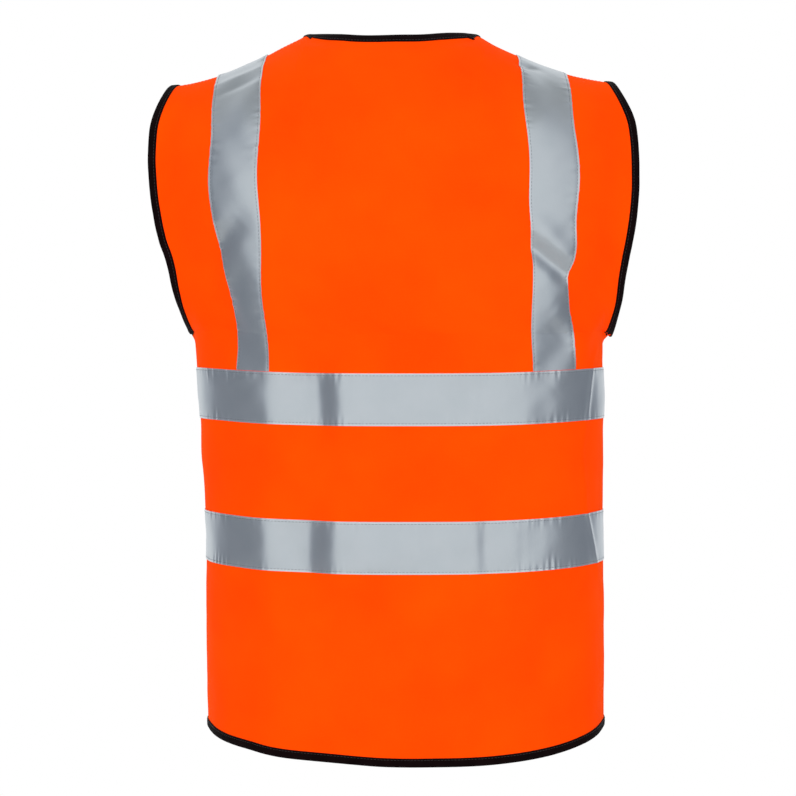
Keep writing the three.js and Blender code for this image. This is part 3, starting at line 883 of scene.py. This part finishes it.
SELVEDGE_PAST = 0.0004  # the bare edge of a tape ends this far short of its stitches


def reflective_tape():
    m = Nodes("reflective_tape")
    uv = m.cloth_places()
    blotch = m.noise(uv, 26.0, 4.0)
    silver = m.ramp(blotch, (0.3, (0.465, 0.500, 0.525)), (0.7, (0.50, 0.53, 0.555)))
    width = m.add("ShaderNodeSeparateXYZ", {0: uv}).outputs["Y"]
    from_middle = m.math("ABSOLUTE", m.math("SUBTRACT", width, TAPE_WIDTH / 2))
    selvedge = m.math("GREATER_THAN", from_middle, TAPE_WIDTH / 2 - STITCH_IN + SELVEDGE_PAST)
    m.set(Base_Color=m.mix(selvedge, silver, (0.575, 0.60, 0.62)))
    m.set(Roughness=m.math("ADD", m.math("MULTIPLY", blotch, 0.10), 0.26))
    m.bump((m.noise(uv, 2600.0, 2.0), 0.25, 0.00006), (m.noise(uv, 140.0), 0.12, 0.0004))
    m.set(Metallic=0.82, Specular_IOR_Level=0.4)
    return m.material


def black_binding():
    m = Nodes("black_binding")
    uv = m.cloth_places()
    ribs = m.wave(uv, "X", 0.0010, 0.3)
    warp = m.wave(uv, "Y", 0.0016, 0.2)
    dark, light = (0.0035, 0.0010, 0.0012), (0.0075, 0.0025, 0.0028)
    m.set(Base_Color=m.ramp(m.noise(uv, 60.0), (0.3, dark), (0.7, light)))
    m.bump((m.math("MULTIPLY", ribs, warp), 0.5, 0.00030))
    m.set(Roughness=0.80, Sheen_Weight=0.015, Sheen_Roughness=0.5, Specular_IOR_Level=0.04)
    return m.material


def thread(name, dark, light):
    m = Nodes(name)
    twist = m.noise(m.solid_places(), 1800.0, 2.0)
    m.set(Base_Color=m.ramp(twist, (0.3, dark), (0.7, light)))
    m.bump((twist, 0.4, 0.0001))
    m.set(Roughness=0.55, Sheen_Weight=0.1)
    return m.material


def pile(name, scale, dark, light, depth):
    """Hooks or loops: cells a set number to the metre, with a fuzz four times as fine."""
    m = Nodes(name)
    uv = m.cloth_places()
    cells = m.add("ShaderNodeTexVoronoi", {"Vector": uv, "Scale": scale}).outputs["Distance"]
    m.set(Base_Color=m.ramp(cells, (0.1, light), (0.6, dark)))
    m.bump((cells, 0.8, depth), (m.noise(uv, scale * 4), 0.5, depth / 2))
    m.set(Roughness=0.8, Sheen_Weight=0.25)
    return m.material


def label_cloth():
    m = Nodes("label_cloth")
    uv = m.cloth_places()
    weave = m.math("MULTIPLY", m.wave(uv, "X", 0.0006), m.wave(uv, "Y", 0.0006))
    m.set(Base_Color=m.ramp(m.noise(uv, 40.0), (0.3, (0.72, 0.71, 0.67)), (0.7, (0.82, 0.81, 0.77))))
    m.bump((weave, 0.4, 0.0001))
    m.set(Roughness=0.5, Sheen_Weight=0.15)
    return m.material


# Both orange fabrics glow with painted light: the outer face strongly, the inner face a tenth as much.
ORANGE = orange_fabric("orange_fabric", 0.40)
ORANGE_INSIDE = orange_fabric("orange_fabric_inside", 0.04)
SILVER = reflective_tape()
BLACK = black_binding()
GREY_THREAD = thread("grey_thread", (0.10, 0.11, 0.13), (0.24, 0.25, 0.27))
BLACK_THREAD = thread("black_thread", (0.012, 0.009, 0.010), (0.035, 0.030, 0.032))
ORANGE_THREAD = thread("orange_thread", (0.85, 0.055, 0.0), (1.0, 0.12, 0.01))
HOOKS = pile("hook_pile", 900.0, (0.012, 0.012, 0.013), (0.06, 0.06, 0.065), 0.0006)
LOOPS = pile("loop_pile", 420.0, (0.015, 0.015, 0.016), (0.05, 0.05, 0.055), 0.0005)
LABEL = label_cloth()


# ---- the pieces
BACK = Side("back", True)
LEFT = Side("front_left", False, 1.0, True)
RIGHT = Side("front_right", False, -1.0)
SIDES = (BACK, LEFT, RIGHT)

on_panel = {side.name: [] for side in SIDES}
tape_stitches = {side.name: Stitches(THREAD) for side in SIDES}
bind_stitches = {side.name: Stitches() for side in SIDES}
seam_stitches = {side.name: Stitches() for side in SIDES}


def finish_piece(obj, side, material, slot, *nodes):
    """Material and CAD nodes; the slot is not used. A back piece is attached to the back's body, and a
    front's piece has its transform applied.
    """
    obj.data.materials.append(material)
    if nodes:
        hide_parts(*nodes)
    if side.back:
        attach(obj, "back")
    else:
        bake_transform(obj)
    return obj


def line_inside(piece):
    """The fabric's wrong side: a slab's inner face takes its own material, with a tenth of the painted
    glow.
    """
    piece.data.materials.append(ORANGE_INSIDE)
    total = len(piece.data.polygons)
    count = len(piece.data.vertices) // 2
    inner = np.zeros(total, np.int32)
    for polygon in piece.data.polygons:
        if min(polygon.vertices) >= count:
            inner[polygon.index] = 1
    piece.data.polygons.foreach_set("material_index", inner)


FABRIC_STEP = 0.0045
for number, side in enumerate(SIDES):
    fabric = fabric_panel(side, FABRIC_STEP)
    finish_piece(fabric, side, ORANGE, "orange_fabric", f"{side.name}_panel")
    line_inside(fabric)
    waist_tape(side, f"{side.name}_lower_waist_tape", LOWER_TAPE, 30 + 7 * number)
    waist_tape(side, f"{side.name}_upper_waist_tape", UPPER_TAPE, 33 + 7 * number)

# Where each brace is drawn in: (level, loss of width).
LEFT_GATHERS = (
    (0.37, 0.0165), (0.43, 0.0150), (0.47, 0.0105), (0.505, 0.0040), (0.60, 0.0010), (0.67, 0.0)
)
RIGHT_GATHERS = (
    (0.37, 0.0085), (0.43, 0.0095), (0.466, 0.0165), (0.495, 0.0070), (0.56, 0.0015), (0.67, 0.0)
)
FRONT_GATHERS = ((0.37, 0.0110), (0.45, 0.0080), (0.52, 0.0030), (0.60, 0.0010), (0.67, 0.0))
brace_tape(BACK, "back_left_brace_tape", 1.0, LEFT_GATHERS, 60)
brace_tape(BACK, "back_right_brace_tape", -1.0, RIGHT_GATHERS, 65)
brace_tape(LEFT, "front_left_brace_tape", 1.0, FRONT_GATHERS, 70)
brace_tape(RIGHT, "front_right_brace_tape", 1.0, FRONT_GATHERS, 75)

# Levels up an armhole, closer together at both ends, where the binding bends most.
turns = np.linspace(0.0, 1.0, 130)
YOKE = UNDERARM + (BACK_LENGTH - UNDERARM) * np.sin(turns ** (2.0 - turns) * np.pi / 2)
NECK_A = float(a_of_x(np.array(NECK_HALF), np.array(BACK_LENGTH)))
EDGE_STEP = 0.004
for side in SIDES:
    start = -1.0 if side.back else float(a_of_x(np.array(-LAP / 2), np.array(0.0)))
    hem = np.linspace(start, 1.0, 240 if side.back else 130)
    build_binding(side, f"{side.name}_hem_binding", hem, np.zeros_like(hem), (0.0, 0.02))
    if not side.back:
        build_binding(side, f"{side.name}_armhole_binding", np.ones_like(YOKE), YOKE, (-0.05, 0.0))
        up = panel_levels(EDGE_STEP)
        build_binding(side, f"{side.name}_edge_binding", a_of_x(front_edge(up), up), up, (0.05, 0.0))
build_binding(BACK, "back_left_armhole_binding", np.ones_like(YOKE), YOKE, (-0.05, 0.0))
build_binding(BACK, "back_right_armhole_binding", -np.ones_like(YOKE), YOKE, (0.05, 0.0))
neck = NECK_A * np.sin(np.linspace(-np.pi / 2, np.pi / 2, 90))
build_binding(BACK, "back_neck_binding", neck, np.full_like(neck, BACK_LENGTH), (0.0, -0.02))


def level_at(side, a, z):
    """The level at which a column of the surface passes a height."""
    low, high = np.zeros_like(a), np.full_like(a, BACK_LENGTH)
    for _ in range(30):
        middle = (low + high) / 2
        above = side.base(a, middle)[0][..., 2] > z
        low, high = np.where(above, low, middle), np.where(above, middle, high)
    return (low + high) / 2


PATCH_ROWS = 37
PATCH_COLS = 29
SEWN_IN = 3  # grid lines from a patch's edge to its stitches
NUB_SIZE = 0.004


def patch_stitches():
    """Grid places (row, column) round a patch, a little inside its edge."""
    low, high, last = SEWN_IN, PATCH_COLS - SEWN_IN, PATCH_ROWS - SEWN_IN
    foot = [(low, k) for k in range(low, high)]
    right = [(k, high - 1) for k in range(low + 1, last - 1)]
    top = [(last - 1, k) for k in range(high - 1, low - 1, -1)]
    left = [(k, low) for k in range(last - 2, low, -1)]
    return foot + right + top + left


def label_stitches():
    """A label is sewn along its top edge only."""
    return [(PATCH_ROWS - SEWN_IN, k) for k in range(1, PATCH_COLS - 1)]


def flat_piece(side, node, material, slot, start, thick, curl=0.0, rough=0.0, seed=1):
    """A patch or label over a CAD node's place, from a start offset to start + thick."""
    low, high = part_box(node)
    shape = (PATCH_ROWS, PATCH_COLS)
    x = np.broadcast_to(np.linspace(low[0], high[0], PATCH_COLS) * side.mirror, shape)
    z = np.broadcast_to(np.linspace(low[2], high[2], PATCH_ROWS)[:, None], shape)
    level = np.clip(z - HEM_Z, 0.0, BACK_LENGTH)
    for _ in range(3):
        a = a_of_x(x, level)
        level = level_at(side, a, z)
    down = np.broadcast_to(np.linspace(1.0, 0.0, PATCH_ROWS)[:, None], shape)
    loose = -curl * smooth(down) * down
    rows, cols = (np.minimum(np.arange(n), np.arange(n)[::-1]) for n in shape)
    edge = np.minimum(rows[:, None], cols[None, :])
    soft = np.where(edge == 0, 0.45, np.where(edge == 1, 0.85, 1.0))
    outwards = math.copysign(1, thick)
    nub = rough * ripple(side.base(a, level)[0], NUB_SIZE, seed) * (edge > 1)
    inner = side.skin(a, level, start, loose)[0]
    outer = side.skin(a, level, start, loose + thick * soft + outwards * nub)[0]
    piece = slab(f"{node}_cloth", *((inner, outer) if thick > 0 else (outer, inner)))
    finish_piece(piece, side, material, slot, node)
    on_panel[side.name].append(piece)
    ring = np.array(label_stitches() if curl else patch_stitches())
    row, col = ring[:, 0], ring[:, 1]
    normals = side.normal(a[row, col], level[row, col])
    bind_stitches[side.name].along(outer[row, col], normals * outwards, *FINE_STITCH)


OFF_FABRIC = 0.0001
PATCH_THICK = 0.0007
LABEL_OFF = 0.0006
LABEL_THICK = 0.0004
LABEL_CURL = 0.0016
for k in range(1, 5):
    hook = (HOOKS, "hook_tape", FABRIC + OFF_FABRIC, PATCH_THICK)
    loop = (LOOPS, "loop_tape", -OFF_FABRIC, -PATCH_THICK)
    flat_piece(RIGHT, f"hook_patch_{k}", *hook, rough=0.00010, seed=k)
    flat_piece(LEFT, f"loop_patch_{k}", *loop, rough=0.00014, seed=9 + k)
for label in ("size_label", "care_label"):
    flat_piece(BACK, label, LABEL, "label_cloth", -LABEL_OFF, -LABEL_THICK, LABEL_CURL)

# Seams: a row of orange stitches on each side of each shoulder seam, clear of the braces.
SEAM_POINTS = 90
SEAM_END = 0.010  # the row stops this far from the neck and from the armhole
SEAM_DOWN = 0.0006  # in level, below the seam
BRACE_CLEAR = 0.003
for side in SIDES:
    for sign in (1.0, -1.0) if side.back else (1.0,):
        out = np.linspace(NECK_HALF + SEAM_END, SHOULDER_HALF - SEAM_END, SEAM_POINTS)
        level = np.full_like(out, BACK_LENGTH - SEAM_DOWN)
        covered = (out > BRACE_SHOULDER - BRACE_CLEAR) & (out < BRACE_SHOULDER + TAPE_WIDTH + BRACE_CLEAR)
        for part in np.split(np.arange(SEAM_POINTS), np.flatnonzero(np.diff(covered)) + 1):
            if covered[part[0]]:
                continue
            path, normals = side.skin(a_of_x(out[part] * sign, level[part]), level[part], FABRIC)
            seam_stitches[side.name].along(path, normals, *SEAM_STITCH)

for side in SIDES:
    tape_stitches[side.name].build(f"{side.name}_tape_stitches", side, GREY_THREAD, "reflective_tape")
    bind_stitches[side.name].build(f"{side.name}_binding_stitches", side, BLACK_THREAD, "black_binding")
    seam_stitches[side.name].build(f"{side.name}_seam_stitches", side, ORANGE_THREAD, "orange_fabric")

# ---- floor, light and camera
FLOOR_RADIUS = 2.4
FLOOR_BELOW_HEM = 0.45
bpy.ops.mesh.primitive_circle_add(
    vertices=96, radius=FLOOR_RADIUS, fill_type="NGON", location=(0, 0, HEM_Z - FLOOR_BELOW_HEM)
)
floor = bpy.context.object
floor.name = "floor"
paint = Nodes("floor")
speckle = paint.noise(paint.solid_places(), 3.0)
shade = paint.ramp(speckle, (0.3, (0.80, 0.80, 0.79)), (0.7, (0.84, 0.84, 0.83)))
paint.set(Base_Color=shade, Roughness=0.8)
floor.data.materials.append(paint.material)

LIGHT_AIM = (0, 0, 0.38)


def soft_light(name, location, size, energy):
    """A round light that faces the vest and makes no highlight of its own on the tapes."""
    light = bpy.data.lights.new(name, "AREA")
    light.shape = "DISK"
    light.size = size
    light.energy = energy
    obj = bpy.data.objects.new(name, light)
    obj.location = location
    direction = Vector(LIGHT_AIM) - obj.location
    obj.rotation_euler = direction.to_track_quat("-Z", "Y").to_euler()
    obj.visible_glossy = False
    bpy.context.scene.collection.objects.link(obj)


soft_light("back_softbox", (0.4, 2.9, 0.4), 1.6, 20)
soft_light("front_softbox", (-0.4, -2.9, 0.4), 1.6, 20)
soft_light("top_softbox", (0.0, 0.0, 3.2), 1.8, 4)

# The studio: bright walls in front and behind, dimmer ones at the sides and overhead.
WALL_TURN = math.radians(5)
WALL_START = 0.42  # how squarely a direction meets the bright walls: dim up to here
WALL_FULL = 0.76  # and fully lit from here
SIDE_LIGHT = 0.27
WALL_LIGHT = 0.79
UPWARD_SHARE = 0.86
CEILING = (0.60, 0.88, 1.0, 0.38)  # start and end of its dimming, then the light before and after
SIDE_TINT = (0.86, 0.94, 1.12)
WALL_TINT = (0.97, 1.0, 1.02)


def studio_world():
    """Light by direction for the vest, and plain white for the camera."""
    world = bpy.data.worlds.new("studio")
    bpy.context.scene.world = world
    t = Tree(world)
    direction = t.add("ShaderNodeTexCoord").outputs["Generated"]
    x, y, z = t.add("ShaderNodeSeparateXYZ", {0: direction}).outputs
    upward = t.math("MULTIPLY", t.math("MAXIMUM", z, 0.0), UPWARD_SHARE)
    along = t.math("MULTIPLY", y, math.cos(WALL_TURN))
    turned = t.math("ADD", along, t.math("MULTIPLY", x, -math.sin(WALL_TURN)))
    squares = (t.math("POWER", v, 2.0) for v in (t.math("ABSOLUTE", turned), upward))
    facing = t.step(t.math("SQRT", t.math("ADD", *squares)), WALL_START, WALL_FULL)
    level = t.math("ADD", t.math("MULTIPLY", facing, WALL_LIGHT), SIDE_LIGHT)
    strength = t.math("MULTIPLY", level, t.step(z, *CEILING))
    colour = t.mix(facing, SIDE_TINT, WALL_TINT)
    soft = t.add("ShaderNodeBackground", {"Color": colour, "Strength": strength})
    plain = t.add("ShaderNodeBackground", {"Color": (1.0, 1.0, 1.0)})
    for_camera = t.add("ShaderNodeLightPath").outputs["Is Camera Ray"]
    shaders = {0: for_camera, 1: soft.outputs[0], 2: plain.outputs[0]}
    t.add("ShaderNodeOutputWorld", {0: t.add("ShaderNodeMixShader", shaders).outputs[0]})


studio_world()

CAMERA_DISTANCE = 2.5
CAMERA_HEIGHT = 0.351
VIEW_HALF = 0.400  # half of what the view takes in at the vest's middle
camera = bpy.data.cameras.new("camera")
camera.sensor_width = 36.0
camera.lens = camera.sensor_width / 2 / (VIEW_HALF / CAMERA_DISTANCE)
viewer = bpy.data.objects.new("camera", camera)
viewer.location = (0.0, CAMERA_DISTANCE, CAMERA_HEIGHT)
viewer.rotation_euler = (math.radians(90), 0.0, math.radians(180))
bpy.context.scene.collection.objects.link(viewer)
bpy.context.scene.camera = viewer
bpy.context.scene.view_settings.view_transform = "Standard"
